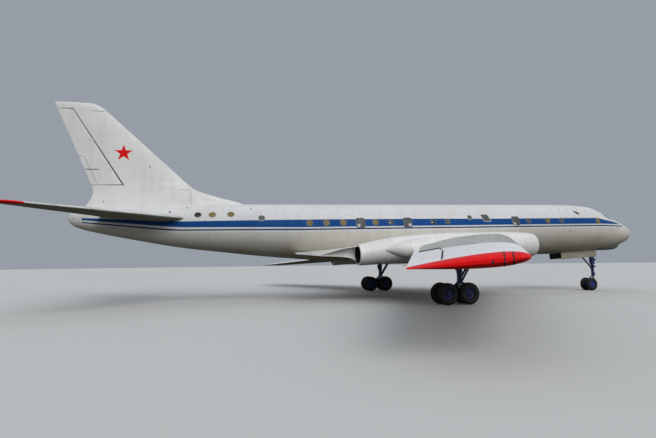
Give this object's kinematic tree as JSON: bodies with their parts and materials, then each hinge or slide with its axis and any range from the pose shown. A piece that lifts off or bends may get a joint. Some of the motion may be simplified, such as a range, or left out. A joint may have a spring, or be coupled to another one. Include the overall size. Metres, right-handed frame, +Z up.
{
  "type": "narrow body airliner",
  "caption": "Swept-wing narrow-body airliner with a jet in each wing root, parked on its wheels, with moving doors, wheels, steering and flying controls.",
  "frame": {"origin": "on the ground below the middle of the whole length, on the centre line", "axes": "+X to the nose, +Y to port, +Z up; the barrel stands about 1.3 degrees nose-up"},
  "size_m": [38.8534, 34.54, 11.2296],
  "materials": {
    "white_paint": "semi-gloss, weathered",
    "wing_paint": "semi-gloss, weathered",
    "grey_paint": "satin",
    "red_paint": "gloss",
    "gear_paint": "semi-gloss",
    "wheel_paint": "semi-gloss",
    "engine_metal": "dull, heat marked",
    "tyre": "matt",
    "glazing": "clear"
  },
  "bodies": {
    "root": {"fuselage_nose": "white_paint", "fuselage_centre": "white_paint", "fuselage_rear": "white_paint", "cockpit_glazing": "glazing", "chin_fairing": "grey_paint", "fin": "white_paint", "nose_leg": "gear_paint", "wing_right": "wing_paint", "wing_tip_right": "red_paint", "flap_inner_right": "wing_paint", "flap_outer_right": "wing_paint", "nacelle_right": "wing_paint", "engine_right": "engine_metal", "gear_pod_right": "wing_paint", "tailplane_right": "wing_paint", "tailplane_tip_right": "red_paint", "main_leg_right": "gear_paint", "bogie_beam_right": "gear_paint", "wing_left": "wing_paint", "wing_tip_left": "red_paint", "flap_inner_left": "wing_paint", "flap_outer_left": "wing_paint", "nacelle_left": "wing_paint", "engine_left": "engine_metal", "gear_pod_left": "wing_paint", "tailplane_left": "wing_paint", "tailplane_tip_left": "red_paint", "main_leg_left": "gear_paint", "bogie_beam_left": "gear_paint"},
    "rudder": {"rudder": "white_paint"},
    "elevator_right": {"elevator_right": "wing_paint"},
    "elevator_left": {"elevator_left": "wing_paint"},
    "aileron_right": {"aileron_right": "wing_paint"},
    "aileron_left": {"aileron_left": "wing_paint"},
    "main_wheels_front_right": {"main_axle_front_right": "wheel_paint", "main_tyre_front_right_1": "tyre", "main_tyre_front_right_2": "tyre"},
    "main_wheels_rear_right": {"main_axle_rear_right": "wheel_paint", "main_tyre_rear_right_1": "tyre", "main_tyre_rear_right_2": "tyre"},
    "main_wheels_front_left": {"main_axle_front_left": "wheel_paint", "main_tyre_front_left_1": "tyre", "main_tyre_front_left_2": "tyre"},
    "main_wheels_rear_left": {"main_axle_rear_left": "wheel_paint", "main_tyre_rear_left_1": "tyre", "main_tyre_rear_left_2": "tyre"},
    "nose_steering": {"nose_fork": "gear_paint"},
    "nose_wheels": {"nose_axle": "wheel_paint", "nose_tyre_right": "tyre", "nose_tyre_left": "tyre"},
    "door_front": {"door_front": "white_paint"},
    "door_rear": {"door_rear": "white_paint"},
    "nose_bay_door_right": {"nose_bay_door_right": "white_paint"},
    "nose_bay_door_left": {"nose_bay_door_left": "white_paint"}
  },
  "joints": [
    {"name": "rudder_hinge", "type": "hinge", "parent": "root", "child": "rudder", "pos_m": [-15.77926, 0, 6.58823], "axis": [-0.5414, 0, 0.8408], "range_deg": [-25, 25]},
    {"name": "elevator_right_hinge", "type": "hinge", "parent": "root", "child": "elevator_right", "pos_m": [-15.60565, -1.25, 4.72645], "axis": [0.4933, 0.8697, 0.0184], "range_deg": [-15, 25]},
    {"name": "elevator_left_hinge", "type": "hinge", "parent": "root", "child": "elevator_left", "pos_m": [-15.60565, 1.25, 4.72645], "axis": [-0.4933, 0.8697, -0.0184], "range_deg": [-15, 25]},
    {"name": "aileron_right_hinge", "type": "hinge", "parent": "root", "child": "aileron_right", "pos_m": [-2.63006, -11.45, 2.43144], "axis": [0.493, 0.8681, 0.0574], "range_deg": [-20, 20]},
    {"name": "aileron_left_hinge", "type": "hinge", "parent": "root", "child": "aileron_left", "pos_m": [-2.63006, 11.45, 2.43144], "axis": [-0.493, 0.8681, -0.0574], "range_deg": [-20, 20]},
    {"name": "main_wheels_front_right_spin", "type": "hinge", "parent": "root", "child": "main_wheels_front_right", "pos_m": [1.82195, -5.66, 0.55], "axis": [0, 1, 0], "continuous": true},
    {"name": "main_wheels_rear_right_spin", "type": "hinge", "parent": "root", "child": "main_wheels_rear_right", "pos_m": [0.63195, -5.66, 0.55], "axis": [0, 1, 0], "continuous": true},
    {"name": "main_wheels_front_left_spin", "type": "hinge", "parent": "root", "child": "main_wheels_front_left", "pos_m": [1.82195, 5.66, 0.55], "axis": [0, 1, 0], "continuous": true},
    {"name": "main_wheels_rear_left_spin", "type": "hinge", "parent": "root", "child": "main_wheels_rear_left", "pos_m": [0.63195, 5.66, 0.55], "axis": [0, 1, 0], "continuous": true},
    {"name": "nose_steering", "type": "hinge", "parent": "root", "child": "nose_steering", "pos_m": [15.85443, 0, 0.8], "axis": [0, 0, 1], "range_deg": [-35, 35]},
    {"name": "nose_wheels_spin", "type": "hinge", "parent": "nose_steering", "child": "nose_wheels", "pos_m": [15.41443, 0, 0.45], "axis": [0, 1, 0], "continuous": true},
    {"name": "door_front_hinge", "type": "hinge", "parent": "root", "child": "door_front", "pos_m": [13.05501, 1.792, 4.46587], "axis": [0.0221, 0, -0.9998], "range_deg": [0, 100]},
    {"name": "door_rear_hinge", "type": "hinge", "parent": "root", "child": "door_rear", "pos_m": [-8.5397, 1.594, 3.98782], "axis": [0.0221, 0, -0.9998], "range_deg": [0, 100]},
    {"name": "nose_bay_door_right_hinge", "type": "hinge", "parent": "root", "child": "nose_bay_door_right", "pos_m": [12.68384, -0.536, 2.70723], "axis": [0.9984, 0, 0.0567], "range_deg": [0, 88]},
    {"name": "nose_bay_door_left_hinge", "type": "hinge", "parent": "root", "child": "nose_bay_door_left", "pos_m": [12.68384, 0.536, 2.70723], "axis": [-0.9984, 0, -0.0567], "range_deg": [0, 88]}
  ],
  "couplings": [
    {"joint": "elevator_left_hinge", "follows": "elevator_right_hinge", "ratio": 1},
    {"joint": "aileron_left_hinge", "follows": "aileron_right_hinge", "ratio": -1},
    {"joint": "nose_bay_door_left_hinge", "follows": "nose_bay_door_right_hinge", "ratio": 1}
  ]
}
